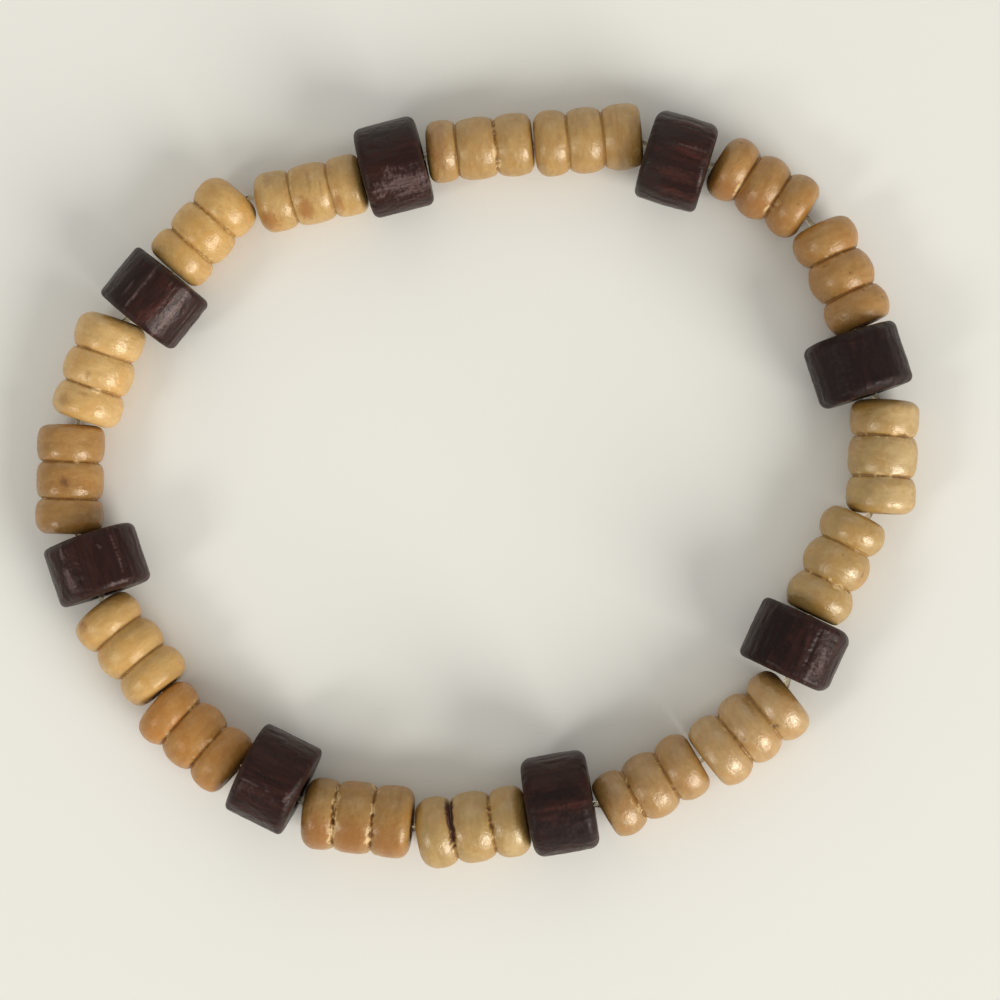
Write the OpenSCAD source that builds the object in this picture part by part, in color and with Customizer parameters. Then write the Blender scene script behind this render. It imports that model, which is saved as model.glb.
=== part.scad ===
// Stretch bracelet of turned wooden beads, lying closed in its loose oval.
// Eight short dark beads part sixteen ribbed light ones, two by two.
// X runs along the oval, Y across it and Z up; every bead rests on z = 0.

/* [Dark beads] */
// Diameter of a plain dark bead
dark_d = 8; // [7.8:0.1:8.1]
// Rounding on the rims of a dark bead
dark_rim_r = 0.4; // [0.2:0.1:0.6]

/* [Ribbed beads] */
// Diameter of a ribbed bead over its lobes
ribbed_d = 5.8; // [5.7:0.1:6]
// Lobes turned on each ribbed bead
lobes = 3; // [3:1:4]
// Radius of the curve over one lobe
lobe_r = 3.2; // [2.8:0.1:4]
// Rounding at both ends of a ribbed bead
ribbed_end_r = 1.2; // [0.8:0.1:1.3]
// Width of the cut between two lobes
groove_w = 0.35; // [0.2:0.05:0.5]
// Depth of that cut below the top of the lobes
groove_depth = 0.55; // [0.4:0.05:0.7]

/* [Stringing] */
// Diameter of the hole drilled through every bead
bore_d = 2.3; // [2.3:0.1:2.5]
// Width of the bevel at each mouth of the hole
mouth_w = 0.3; // [0.3:0.05:0.4]
// Diameter of the elastic cord
cord_d = 0.5; // [0.4:0.05:0.5]
// Clear distance between neighbouring beads
bead_gap = 0.14; // [0.12:0.01:0.2]
// Clear distance between the cord and the wall of a hole where it lies nearest
cord_gap = 0.24; // [0.22:0.01:0.26]

/* [Hidden] */
$fn = 48;

// One row for each bead, clockwise round the oval as seen from above
// kind: "dark" or "ribbed"
// heading: the way the bead's axis points, in degrees from +X
// length: along the axis
// over: how much thicker than the plain bead of its kind it was turned
// slip: how far its near end sits outside the far end of the bead before it
KIND = 0;
HEADING = 1;
LENGTH = 2;
OVER = 3;
SLIP = 4;
beads = [
    ["dark", 14, 5.3, -0.3, 0.4],
    ["ribbed", 5, 9, -0.5, 0.7],
    ["ribbed", 5, 9.1, -0.2, -0.2],
    ["dark", -17, 5.4, -0.4, -1.6],
    ["ribbed", -32, 8.9, -0.2, 1.3],
    ["ribbed", -66, 9.4, -0.2, 0.1],
    ["dark", -72, 5.4, 0, -1.7],
    ["ribbed", -93, 9.5, 0, 1.5],
    ["ribbed", -116, 9.3, -0.1, -1.6],
    ["dark", -115, 5.4, 0, -0.3],
    ["ribbed", -142, 9.2, 0.5, 1.8],
    ["ribbed", -150, 9.1, -0.1, -0.6],
    ["dark", -170, 5.5, 0.3, -1.6],
    ["ribbed", -171, 9.4, 0.2, 0.9],
    ["ribbed", -186, 9.2, 0.3, -1],
    ["dark", -206, 5.3, 0, -1.6],
    ["ribbed", -221, 9, 0.1, 1.1],
    ["ribbed", -230, 9, 0.1, -1.2],
    ["dark", -251, 5.2, -0.1, -1.5],
    ["ribbed", -271, 9.3, -0.1, 1.8],
    ["ribbed", -288, 9.2, 0.2, -0.9],
    ["dark", -309, 5.2, -0.2, -1.8],
    ["ribbed", -311, 8.8, -0.2, 0.7],
    ["ribbed", -348, 9.3, -0.6, -1.8],
];
count = len(beads);

// A bead's own measures; the row after the last is the first
function field(i, column) = beads[i % count][column];
function is_dark(i) = field(i, KIND) == "dark";
function heading(i) = field(i, HEADING);
function bead_len(i) = field(i, LENGTH);
function bead_r(i) = ((is_dark(i) ? dark_d : ribbed_d) + field(i, OVER)) / 2;
function rim_r(i) = is_dark(i) ? dark_rim_r : ribbed_end_r;

// Plan directions along and to the left of a heading
function along(a) = [cos(a), sin(a)];
function leftward(a) = [-sin(a), cos(a)];

// The turn from bead i to the next, kept within half a circle, and the heading midway through it
half_circle = 180;
full_circle = 360;
function wrapped(a) = a - full_circle * floor((a + half_circle) / full_circle);
function turn(i) = wrapped(heading(i + 1) - heading(i));
function mid_heading(i) = heading(i) + turn(i) / 2;

// Distance from point p to the stretch between the two points of s
function nearness(p, s) =
    let (run = s[1] - s[0], t = max(0, min(1, (p - s[0]) * run / (run * run))))
    norm(p - s[0] - t * run);

// Clear distance in plan that a gap along the string leaves between bead i's far end and the next bead.
// Each end is its flat face drawn in by the rounding, with the rounding's radius round it.
function ends_apart(i, gap) =
    let (
        flat_a = bead_r(i) - rim_r(i),
        flat_b = bead_r(i + 1) - rim_r(i + 1),
        face_a = -rim_r(i) * along(heading(i)),
        face_b = gap * along(mid_heading(i)) + field(i + 1, SLIP) * leftward(mid_heading(i))
            + rim_r(i + 1) * along(heading(i + 1)),
        end_a = [for (side = [-1, 1]) face_a + side * flat_a * leftward(heading(i))],
        end_b = [for (side = [-1, 1]) face_b + side * flat_b * leftward(heading(i + 1))]
    )
    min([for (k = [0, 1]) min(nearness(end_a[k], end_b), nearness(end_b[k], end_a))])
        - rim_r(i) - rim_r(i + 1);

// The gap that leaves bead_gap between the two ends, found by halving
widest_gap = 4;
halvings = 16;
function settled_gap(i, low = 0, high = widest_gap, tries = halvings) =
    let (middle = (low + high) / 2)
    tries == 0 ? high
        : ends_apart(i, middle) < bead_gap ? settled_gap(i, middle, high, tries - 1)
        : settled_gap(i, low, middle, tries - 1);

// From the near end of bead i's axis to that of the next
function step(i) =
    bead_len(i) * along(heading(i)) + settled_gap(i) * along(mid_heading(i))
        + field(i + 1, SLIP) * leftward(mid_heading(i));

// The beads strung end to end, with what the loop misses closing by shared out evenly
strung = [for (i = 0, p = [0, 0]; i <= count; p = p + step(i), i = i + 1) p];
miss = strung[count] - strung[0];
centres = [for (i = [0 : count - 1]) strung[i] - miss * i / count + bead_len(i) / 2 * along(heading(i))];

// Half the plan box of one bead, and the middle of the plan box of them all
quarter_turn = 90;
function half_box(i) = [
    for (a = [heading(i), heading(i) + quarter_turn])
        (bead_len(i) / 2 - rim_r(i)) * abs(cos(a)) + (bead_r(i) - rim_r(i)) * abs(sin(a)) + rim_r(i)
];
lowest = [for (axis = [0, 1]) min([for (i = [0 : count - 1]) centres[i][axis] - half_box(i)[axis]])];
highest = [for (axis = [0, 1]) max([for (i = [0 : count - 1]) centres[i][axis] + half_box(i)[axis]])];
middle = (lowest + highest) / 2;

// The middle of a bead, the way its axis points, and the two ends of that axis
function centre(i) = concat(centres[i % count] - middle, bead_r(i));
function axis_dir(i) = concat(along(heading(i)), 0);
function near_end(i) = centre(i) - bead_len(i) / 2 * axis_dir(i);
function far_end(i) = centre(i) + bead_len(i) / 2 * axis_dir(i);

// The cord crosses each joint midway between the two holes, as far off each axis as the hole allows
play = (bore_d - cord_d) / 2 - cord_gap;
function crossing(i) = (far_end(i) + near_end(i + 1)) / 2;
function across(i, v) = v - (v * axis_dir(i)) * axis_dir(i);
function held(v) = norm(v) > play ? v * play / norm(v) : v;
function way_in(i) =
    near_end(i) + mouth_w * axis_dir(i) + held(across(i, crossing(i + count - 1) - near_end(i)));
function way_out(i) =
    far_end(i) - mouth_w * axis_dir(i) + held(across(i, crossing(i) - far_end(i)));
route = [for (i = [0 : count - 1], p = [way_in(i), way_out(i)]) p];
stations = len(route);

// A ring of the cord at station k, square to the way it runs there
cord_sides = 8;
function unit(v) = v / norm(v);
function run_dir(k) =
    unit(
        unit(route[(k + 1) % stations] - route[k])
            + unit(route[k] - route[(k + stations - 1) % stations])
    );
function ring(k) =
    let (side = unit(cross([0, 0, 1], run_dir(k))), top = cross(run_dir(k), side))
    [
        for (j = [0 : cord_sides - 1], a = j * full_circle / cord_sides)
            route[k] + cord_d / 2 * (cos(a) * side + sin(a) * top)
    ];
function ring_point(k, j) = (k % stations) * cord_sides + j % cord_sides;

dark_rows = [for (i = [0 : count - 1]) if (is_dark(i)) i];
ribbed_rows = [for (i = [0 : count - 1]) if (!is_dark(i)) i];

// Half section of a cylinder with rounded rims, its axis along Y and its middle at Y = 0
module rounded_section(len, r, rim) {
    translate([0, rim - len / 2]) square([r, len - 2 * rim]);
    translate([0, -len / 2]) square([r - rim, len]);
    for (end = [-1, 1]) translate([r - rim, end * (len / 2 - rim)]) circle(rim);
}

// Half section of the drilled hole with its two bevelled mouths
module hole_section(len) {
    square([bore_d, len], center = true);
    for (end = [-1, 1])
        polygon([
            [0, end * len / 2],
            [bore_d / 2 + mouth_w, end * len / 2],
            [bore_d / 2, end * (len / 2 - mouth_w)],
            [0, end * (len / 2 - mouth_w)]
        ]);
}

// One crowned lobe after another, with a narrow cut between them
module lobed_section(len, r) {
    lobe_len = len / lobes;
    difference() {
        for (k = [0 : lobes - 1])
            translate([0, (k + 0.5) * lobe_len - len / 2]) intersection() {
                translate([r - lobe_r, 0]) circle(lobe_r);
                translate([0, -lobe_len / 2]) square([r, lobe_len]);
            }
        for (k = [1 : lobes - 1])
            translate([r - groove_depth, k * lobe_len - len / 2 - groove_w / 2])
                square([groove_depth, groove_w]);
    }
}

// Sets a half section turning about row i's axis
module turned(i) {
    translate(centre(i)) rotate([0, 0, heading(i)]) rotate([0, quarter_turn, 0])
        rotate_extrude() children();
}

module dark_bead(i) {
    color([0.24, 0.13, 0.12]) turned(i) difference() {
        rounded_section(bead_len(i), bead_r(i), rim_r(i));
        hole_section(bead_len(i));
    }
}

module ribbed_bead(i) {
    color([0.8, 0.62, 0.38]) turned(i) difference() {
        intersection() {
            rounded_section(bead_len(i), bead_r(i), rim_r(i));
            lobed_section(bead_len(i), bead_r(i));
        }
        hole_section(bead_len(i));
    }
}

module elastic_cord() {
    color([0.9, 0.86, 0.78]) polyhedron(
        points = [for (k = [0 : stations - 1], p = ring(k)) p],
        faces = [
            for (k = [0 : stations - 1], j = [0 : cord_sides - 1], half = [0, 1])
                half == 0
                    ? [ring_point(k, j), ring_point(k, j + 1), ring_point(k + 1, j)]
                    : [ring_point(k, j + 1), ring_point(k + 1, j + 1), ring_point(k + 1, j)]
        ]
    );
}

for (k = [1 : len(dark_rows)])
    dark_bead(dark_rows[k - 1]);
for (k = [1 : len(ribbed_rows)])
    ribbed_bead(ribbed_rows[k - 1]);
elastic_cord();
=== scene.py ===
"""A stretch bracelet of plain dark wooden beads and ribbed light ones, lying in a loose oval on a
pale floor.

Every bead is one closed ring of skin, worked out with numpy as a profile turned round the bead's
axis, and then cut, dented and roughened. Shapes are worked out in millimetres and put into the
meshes in metres.
"""
from collections import namedtuple

import bpy
import numpy as np
from mathutils import Matrix


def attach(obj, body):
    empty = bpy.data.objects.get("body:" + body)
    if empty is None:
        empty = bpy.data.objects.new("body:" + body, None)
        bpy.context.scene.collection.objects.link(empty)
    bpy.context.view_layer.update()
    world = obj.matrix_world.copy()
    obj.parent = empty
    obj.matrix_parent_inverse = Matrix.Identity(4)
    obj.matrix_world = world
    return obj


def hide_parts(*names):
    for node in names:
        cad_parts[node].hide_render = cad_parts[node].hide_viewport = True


MM = 0.001
FULL_TURN = 2 * np.pi
UP = np.array([0.0, 0.0, 1.0])

# The string: dark beads, and ribbed beads after each of them
DARK_COUNT = 8
RIBBED_PER_DARK = 2
# Seeds of the chance relief, one step apart from bead to bead
SEED_STEP = 100
FIRST_DARK_SEED = 1000

# The holes and the elastic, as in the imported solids, in mm
BORE_R = 1.15
MOUTH_W = 0.3
CORD_R = 0.25
CORD_GAP = 0.24

# Rings along a bead's outside, and points round it
RIBBED_RINGS = 112
RIBBED_ROUND = 144
DARK_RINGS = 64
DARK_ROUND = 192
# Rings on each flat face and in the hole, and how far a face stays inside the outline, in mm
FACE_RINGS = 5
BORE_RINGS = 6
FACE_INSET = 0.05
# Steps in which an outline is measured before its rings are placed on it
OUTLINE_STEPS = 6000
# Rings stand closer near a cut: how much closer, and how far from its middle that begins, in mm
CROWDING = 3
CROWDED_REACH = 0.45
# Points round the elastic, steps between two mouths of holes, and how often corners are eased
CORD_ROUND = 16
CORD_STEPS = 8
CORD_EASINGS = 3

# Noise over a bead
# size: how far it goes either way
# along, round_it: its bumps along the bead and round it, 1 along where it only changes round it
# seed: added to the seed of the bead or the cut
Noise = namedtuple("Noise", "size along round_it seed")

# Relief of a ribbed bead in mm: lumps, and the finer marks of turning. It fades out at both ends
LUMPS = [Noise(0.035, 5, 5, 0), Noise(0.012, 12, 16, 1)]
TURNING_MARKS = [Noise(0.006, 70, 3, 2), Noise(0.004, 60, 60, 3)]
END_FADE = 0.8

# The narrow cuts between a ribbed bead's lobes, in mm, and the seeds of the first and the second
CUT_DEPTH = 0.11
CUT_HALF_WIDTH = 0.19
CUT_SEEDS = (10, 20)
# How a cut strays round the bead: its middle in mm, its width and depth as shares of themselves
# steady: what every cut does; torn: what grows with the tear
Stray = namedtuple("Stray", "steady torn")
MIDDLE_STRAY = Stray([Noise(0.05, 1, 6, 0)], [Noise(0.07, 1, 46, 1)])
WIDTH_STRAY = Stray([Noise(0.25, 1, 12, 2)], [Noise(0.45, 1, 70, 3)])
DEPTH_STRAY = Stray([Noise(0.2, 1, 9, 4)], [Noise(0.3, 1, 64, 5)])

# Torn wood comes up where noise and tear, each times its own gain, add up to more than the start
Onset = namedtuple("Onset", "noise_gain tear_gain start")
FIBRES = Onset(1.4, 1.4, 0.9)
PITS = Onset(2.6, 1.8, 2.2)
FIBRE_CLUMPS = [Noise(1.0, 26, 34, 6), Noise(0.9, 80, 120, 8)]
PIT_SPACING = [Noise(1.0, 1, 52, 9)]
# The tear from which torn wood is fully there
FULL_TEAR = 0.5
# How far fibres and pits reach from the middle of a cut, in half widths, and how the lip strays
LIP_REACH = 1.7
PIT_REACH = 1.5
LIP_STRAY = [Noise(1.1, 1, 16, 7)]
# How high fibres stand up and how deep pits go, in mm
FIBRE_HEIGHT = 0.04
PIT_DEPTH = 0.06

# The rims of a dark bead, in mm: their rounding, how it strays, and how far in from the end they go
DARK_ROUNDING = 0.7
ROUNDING_STRAY = [Noise(0.3, 1, 9, 5)]
RIM_REACH = 0.7
# Relief of a dark bead in mm: flats, which are weaker on the rims, and ridges of grain
FLATS = [Noise(0.05, 2, 7, 0)]
RIM_FLATS = 0.5
GRAIN_RIDGES = [Noise(0.03, 2, 60, 1), Noise(0.02, 6, 96, 2), Noise(0.012, 30, 90, 3)]
# Chips on the rims: their depth in mm, and the noise and what it has to pass
CHIP_DEPTH = 0.1
CHIPS = [Noise(2, 1, 40, 4)]
CHIP_START = 0.7
# Dark furrows, where the coarsest ridges are low: the noise and what it has to pass
FURROWS = [Noise(-2, 2, 60, 1)]
FURROW_START = 0.3
# How matt the rims are
RIM_MATT = 0.7

# How far the patterns of two beads may start from each other, in mm either way
PATTERN_SHIFT = 50

# Tones of the varnished wood
# red, green, blue: as seen on a screen, 0 to 255
# gloss: how strongly the varnish reflects
Tone = namedtuple("Tone", "red green blue gloss")
TONES = {
    "pale": Tone(168, 135, 79, 1.35),
    "cream": Tone(202, 165, 108, 0.8),
    "tan": Tone(170, 134, 80, 1.05),
    "honey": Tone(171, 134, 81, 1.6),
    "biscuit": Tone(160, 123, 74, 1.15),
    "fawn": Tone(160, 123, 74, 0.6),
    "russet": Tone(159, 118, 66, 0.75),
    "golden": Tone(195, 156, 97, 0.65),
    "straw": Tone(184, 149, 95, 0.75),
    "amber": Tone(174, 125, 69, 0.5),
}

# Ribbed beads in the order of the string
# first, second: where the cuts lie, as shares of the length from the near end
# near, far: the rounding of the two ends in mm
# fall: how far a lobe falls from its middle to its edges, in mm
# full: how long it stays level before it falls
# tear_1, tear_2: how torn the two cuts are, from 0 to 1
# the last: how dark the colour in the cuts is, from 0 to 1
Ribbed = namedtuple("Ribbed", "first second near far fall full tone tear_1 tear_2 grime")
RIBBED = {
    "ribbed_bead_1": Ribbed(0.28, 0.65, 0.9, 1.0, 0.4, 2.5, "tan", 0.1, 0.45, 0.5),
    "ribbed_bead_2": Ribbed(0.31, 0.64, 1.2, 0.9, 0.45, 2.5, "tan", 0.2, 0.1, 0.2),
    "ribbed_bead_3": Ribbed(0.33, 0.67, 1.4, 1.3, 0.62, 2.0, "russet", 0.2, 0.25, 0.6),
    "ribbed_bead_4": Ribbed(0.33, 0.68, 1.3, 0.9, 0.6, 2.1, "russet", 0.25, 0.25, 0.6),
    "ribbed_bead_5": Ribbed(0.32, 0.68, 1.0, 1.1, 0.4, 3.0, "pale", 0.35, 0.3, 0.6),
    "ribbed_bead_6": Ribbed(0.31, 0.66, 1.2, 1.1, 0.68, 2.0, "pale", 0.2, 0.45, 0.3),
    "ribbed_bead_7": Ribbed(0.33, 0.66, 1.3, 1.2, 0.66, 2.3, "honey", 0.2, 0.3, 0.3),
    "ribbed_bead_8": Ribbed(0.33, 0.68, 1.2, 1.0, 0.58, 2.3, "biscuit", 0.2, 0.4, 0.4),
    "ribbed_bead_9": Ribbed(0.32, 0.67, 1.3, 1.4, 0.55, 2.8, "pale", 0.4, 0.2, 0.5),
    "ribbed_bead_10": Ribbed(0.35, 0.7, 1.1, 1.3, 0.36, 3.0, "fawn", 0.85, 0.85, 1.0),
    "ribbed_bead_11": Ribbed(0.34, 0.69, 1.2, 1.2, 0.56, 2.2, "amber", 0.3, 0.3, 0.6),
    "ribbed_bead_12": Ribbed(0.33, 0.67, 1.2, 1.2, 0.6, 2.2, "golden", 0.1, 0.1, 0.25),
    "ribbed_bead_13": Ribbed(0.32, 0.66, 1.1, 0.9, 0.42, 3.6, "russet", 0.1, 0.2, 0.35),
    "ribbed_bead_14": Ribbed(0.32, 0.65, 1.2, 1.3, 0.5, 2.6, "cream", 0.3, 0.25, 0.45),
    "ribbed_bead_15": Ribbed(0.3, 0.64, 1.0, 1.6, 0.46, 3.0, "golden", 0.3, 0.3, 0.35),
    "ribbed_bead_16": Ribbed(0.33, 0.69, 1.2, 0.9, 0.36, 3.2, "straw", 0.2, 0.2, 0.35),
}

# Marks on single beads
# share: place along the bead from its near end
# angle: degrees round the bead, from the line that faces the camera towards the outside of the loop
# long, wide: size in mm along the bead and round it
# depth: how deep it is sunk in mm, less than 0 where it stands up
Mark = namedtuple("Mark", "bead kind share angle long wide depth")
MARKS = [
    Mark("ribbed_bead_1", "glow", 0.12, 20, 1.4, 5.0, 0),
    Mark("ribbed_bead_1", "stain_and_shade", 0.68, -26, 0.18, 0.2, 0.04),
    Mark("ribbed_bead_1", "torn", 0.64, -10, 0.35, 1.4, 0.05),
    Mark("ribbed_bead_2", "faint", 0.78, 35, 0.1, 3.0, 0.01),
    Mark("ribbed_bead_3", "stain_and_shade", 0.11, 55, 0.2, 0.25, 0.03),
    Mark("ribbed_bead_3", "stain_and_shade", 0.87, 8, 0.2, 0.22, 0.03),
    Mark("ribbed_bead_3", "glow", 0.5, -40, 7.0, 3.0, 0),
    # These two are pale chips at the cuts and also a painted highlight: bright specks along the lit
    # side of the lobes
    Mark("ribbed_bead_3", "torn", 0.31, -30, 0.24, 2.0, 0.02),
    Mark("ribbed_bead_3", "torn", 0.64, -36, 0.2, 1.4, 0.02),
    Mark("ribbed_bead_4", "stain_and_shade", 0.535, 17, 0.3, 0.2, 0.02),
    Mark("ribbed_bead_4", "stain_and_shade", 0.72, 29, 0.18, 0.2, 0.03),
    Mark("ribbed_bead_4", "stain_and_shade", 0.84, 58, 0.16, 0.3, 0.02),
    Mark("ribbed_bead_4", "stain_and_shade", 0.38, -19, 0.1, 0.6, 0.01),
    # Painted highlights: paler wood over the lit outer side of the lobes
    Mark("ribbed_bead_5", "painted_highlight", 0.16, 38, 1.8, 3.0, 0),
    Mark("ribbed_bead_5", "painted_highlight", 0.5, 36, 2.6, 3.0, 0),
    Mark("ribbed_bead_5", "painted_highlight", 0.85, 32, 2.0, 3.4, 0),
    Mark("ribbed_bead_5", "torn", 0.31, 22, 0.3, 0.8, 0.04),
    Mark("ribbed_bead_5", "stain_and_shade", 0.68, 40, 0.12, 1.6, 0.02),
    Mark("ribbed_bead_6", "stain_and_shade", 0.49, 56, 0.9, 0.25, 0.03),
    Mark("ribbed_bead_6", "torn", 0.68, 22, 0.4, 1.0, 0.04),
    Mark("ribbed_bead_6", "stain_and_shade", 0.4, 4, 0.15, 0.2, 0.03),
    Mark("ribbed_bead_7", "stain_and_shade", 0.3, 26, 0.38, 0.45, 0.12),
    Mark("ribbed_bead_7", "stain_and_shade", 0.6, 11, 0.16, 0.2, 0.06),
    Mark("ribbed_bead_7", "glow", 0.65, -11, 0.25, 0.8, 0),
    Mark("ribbed_bead_8", "stain_and_shade", 0.33, 33, 0.2, 0.25, 0.06),
    Mark("ribbed_bead_8", "stain_and_shade", 0.62, 20, 0.16, 0.18, 0.05),
    Mark("ribbed_bead_8", "stain_and_shade", 0.52, 15, 0.1, 0.14, 0.04),
    Mark("ribbed_bead_8", "stain_and_shade", 0.41, 39, 0.1, 0.3, 0.03),
    # Painted highlight: paler wood over the lit outer side of the near lobe
    Mark("ribbed_bead_9", "painted_highlight", 0.15, 40, 1.6, 2.4, 0),
    Mark("ribbed_bead_9", "black", 0.675, -24, 0.5, 5.0, 0.12),
    Mark("ribbed_bead_9", "black", 0.675, -48, 0.62, 2.4, 0.06),
    Mark("ribbed_bead_9", "stain_and_shade", 0.33, 3, 0.22, 0.3, 0.04),
    Mark("ribbed_bead_9", "stain_and_shade", 0.33, -8, 0.18, 0.25, 0.04),
    Mark("ribbed_bead_9", "stain_and_shade", 0.33, -18, 0.2, 0.3, 0.04),
    Mark("ribbed_bead_9", "stain_and_shade", 0.33, -31, 0.2, 0.25, 0.04),
    Mark("ribbed_bead_10", "glow", 0.2, 44, 2.4, 4.0, 0),
    Mark("ribbed_bead_10", "glow", 0.53, 42, 3.0, 4.0, 0),
    Mark("ribbed_bead_10", "glow", 0.86, 40, 2.2, 4.2, 0),
    Mark("ribbed_bead_10", "faint", 0.22, 42, 2.2, 3.8, 0),
    Mark("ribbed_bead_10", "faint", 0.53, 36, 2.6, 3.8, 0),
    Mark("ribbed_bead_10", "faint", 0.86, 38, 1.8, 3.8, 0),
    Mark("ribbed_bead_10", "polished", 0.5, 30, 12.0, 9.0, 0),
    Mark("ribbed_bead_11", "faint", 0.335, -10, 0.14, 1.4, 0.02),
    Mark("ribbed_bead_12", "glow", 0.92, 45, 0.8, 1.2, 0),
    Mark("ribbed_bead_13", "faint", 0.46, 12, 1.3, 1.2, 0.01),
    Mark("ribbed_bead_13", "stain_and_shade", 0.47, 10, 0.7, 0.6, 0.02),
    Mark("ribbed_bead_13", "faint", 0.46, 30, 0.3, 0.6, 0.01),
    Mark("ribbed_bead_13", "torn", 0.31, 65, 0.2, 0.6, 0.03),
    Mark("ribbed_bead_13", "torn", 0.655, -12, 0.3, 0.5, 0.03),
    Mark("ribbed_bead_13", "polished", 0.5, 10, 12.0, 9.0, 0),
    Mark("ribbed_bead_14", "faint", 0.14, 44, 1.0, 1.2, 0.01),
    Mark("ribbed_bead_14", "faint", 0.41, 16, 0.9, 0.5, 0.02),
    Mark("ribbed_bead_14", "faint", 0.24, 8, 0.3, 1.2, 0.01),
    Mark("ribbed_bead_14", "torn", 0.31, -7, 0.3, 1.3, -0.14),
    Mark("ribbed_bead_14", "faint", 0.66, 36, 0.3, 1.2, 0.03),
    Mark("ribbed_bead_14", "polished", 0.5, -16, 12.0, 7.0, 0),
    Mark("ribbed_bead_15", "faint", 0.64, 70, 0.3, 0.5, 0.02),
    Mark("ribbed_bead_15", "polished", 0.5, -20, 12.0, 7.0, 0),
    Mark("ribbed_bead_16", "faint", 0.15, 50, 0.6, 2.0, 0.01),
    Mark("ribbed_bead_16", "faint", 0.52, 26, 0.4, 2.2, 0.01),
    Mark("ribbed_bead_16", "faint", 0.72, 46, 0.35, 1.6, 0.01),
    Mark("ribbed_bead_16", "glow", 0.1, -40, 1.5, 2.4, 0),
    Mark("ribbed_bead_16", "glow", 0.45, -28, 1.4, 2.2, 0),
    Mark("ribbed_bead_16", "glow", 0.75, -35, 0.8, 2.0, 0),
    Mark("ribbed_bead_16", "faint", 0.3, 30, 0.25, 1.8, 0.01),
    Mark("ribbed_bead_16", "faint", 0.62, 12, 0.25, 1.6, 0.01),
    Mark("ribbed_bead_16", "polished", 0.5, -20, 12.0, 6.0, 0),
    # The polish, crazing and pale wear here lie on the lit band of the bead; the pale wear is a
    # painted highlight
    Mark("dark_bead_1", "polished", 0.6, -24, 4.0, 2.4, 0),
    Mark("dark_bead_1", "crazed", 0.6, -24, 3.8, 2.6, 0),
    Mark("dark_bead_1", "wear_and_highlight", 0.62, -24, 3.6, 2.0, 0),
    Mark("dark_bead_1", "faint", 0.5, 58, 7.0, 4.0, 0),
    Mark("dark_bead_2", "faint", 0.1, 0, 3.0, 18.0, 0),
    Mark("dark_bead_2", "glow", 0.65, 15, 3.0, 0.8, 0),
    Mark("dark_bead_2", "glow", 0.65, -15, 3.0, 0.9, 0.02),
    Mark("dark_bead_2", "glow", 0.7, -45, 3.0, 0.8, 0.02),
    Mark("dark_bead_2", "glow", 0.6, 58, 3.4, 0.7, 0),
    Mark("dark_bead_2", "wear_and_highlight", 0.7, 22, 1.6, 0.14, -0.02),
    Mark("dark_bead_2", "polished", 0.92, -12, 0.6, 2.4, 0),
    Mark("dark_bead_3", "stain_and_shade", 0.5, 0, 8.0, 16.0, 0),
    Mark("dark_bead_3", "matt", 0.5, 0, 8.0, 16.0, 0),
    # The next two pale patches are a painted highlight on the lit outer side
    Mark("dark_bead_4", "wear_and_highlight", 0.62, 42, 2.4, 0.8, 0.02),
    Mark("dark_bead_4", "wear_and_highlight", 0.78, 30, 1.4, 0.25, 0),
    Mark("dark_bead_4", "stain_and_shade", 0.55, 22, 3.6, 0.2, 0.07),
    Mark("dark_bead_4", "stain_and_shade", 0.5, -40, 6.0, 5.0, 0),
    Mark("dark_bead_5", "glow", 0.42, 5, 3.4, 0.4, 0),
    Mark("dark_bead_5", "stain_and_shade", 0.5, -12, 3.6, 0.8, 0.03),
    # Painted shade: darker over the outer side, where the light falls but this bead shows no
    # highlight
    Mark("dark_bead_5", "stain_and_shade", 0.5, 40, 7.0, 4.0, 0),
    Mark("dark_bead_5", "matt", 0.5, 30, 8.0, 8.0, 0),
    Mark("dark_bead_6", "stain_and_shade", 0.55, 2, 3.6, 0.2, 0.07),
    Mark("dark_bead_6", "wear_and_highlight", 0.7, 16, 2.0, 0.14, -0.02),
    Mark("dark_bead_6", "wear_and_highlight", 0.13, 14, 0.25, 0.7, 0),
    # The next two pale patches are painted highlights of the weak light from the left
    Mark("dark_bead_7", "wear_and_highlight", 0.32, 40, 1.8, 0.6, 0),
    Mark("dark_bead_7", "wear_and_highlight", 0.78, 39, 0.9, 0.4, 0),
    Mark("dark_bead_7", "wear_and_highlight", 0.72, -8, 0.4, 0.3, 0),
    Mark("dark_bead_7", "wear_and_highlight", 0.6, -28, 2.6, 0.12, -0.02),
    Mark("dark_bead_7", "wear_and_highlight", 0.07, -20, 0.25, 1.4, 0),
    Mark("dark_bead_8", "wear_and_highlight", 0.5, 22, 7.0, 0.2, -0.08),
    Mark("dark_bead_8", "wear_and_highlight", 0.38, 35, 1.4, 0.16, -0.04),
    Mark("dark_bead_8", "wear_and_highlight", 0.35, 62, 2.0, 0.14, -0.02),
    Mark("dark_bead_8", "wear_and_highlight", 0.3, -62, 2.6, 0.14, -0.02),
    Mark("dark_bead_8", "wear_and_highlight", 0.65, -52, 2.2, 0.14, -0.02),
    # This polish and the pale wear below it stand for the highlight on the lit band; the pale wear
    # is a painted highlight
    Mark("dark_bead_8", "polished", 0.47, -27, 4.6, 1.1, 0),
    Mark("dark_bead_8", "wear_and_highlight", 0.44, -27, 4.4, 0.7, 0),
    Mark("dark_bead_8", "glow", 0.35, -6, 2.8, 1.4, 0),
    Mark("dark_bead_8", "faint", 0.5, 55, 7.0, 4.2, 0),
]
LIGHT_MARKS = ("stain_and_shade", "faint", "glow", "painted_highlight", "torn", "black", "polished")
DARK_MARKS = ("stain_and_shade", "faint", "glow", "wear_and_highlight", "matt", "polished", "crazed")
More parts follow.
